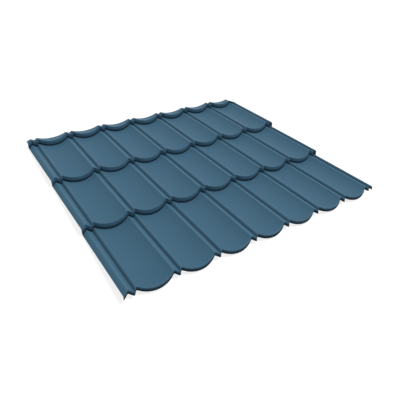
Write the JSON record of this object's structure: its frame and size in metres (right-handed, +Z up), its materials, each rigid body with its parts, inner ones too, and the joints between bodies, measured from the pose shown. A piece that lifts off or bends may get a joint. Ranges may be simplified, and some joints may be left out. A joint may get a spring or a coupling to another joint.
{
  "type": "metal roof tile",
  "caption": "Press-formed coated steel roof tile sheet with wide shallow pans between grooved ribs and stepped rows bowed in plan.",
  "frame": {"origin": "centre of the bounding box's bottom, on the floor under the feet of the pans", "axes": "+X across the sheet over its ribs, +Y from the front (eaves) edge towards the top (ridge) edge, +Z up from the underside to the coated face"},
  "size_m": [1.105, 0.9433, 0.0333],
  "materials": {
    "coated_steel": "satin slate-blue coil coating"
  },
  "bodies": {
    "root": {"tile_sheet": "coated_steel"}
  },
  "joints": []
}
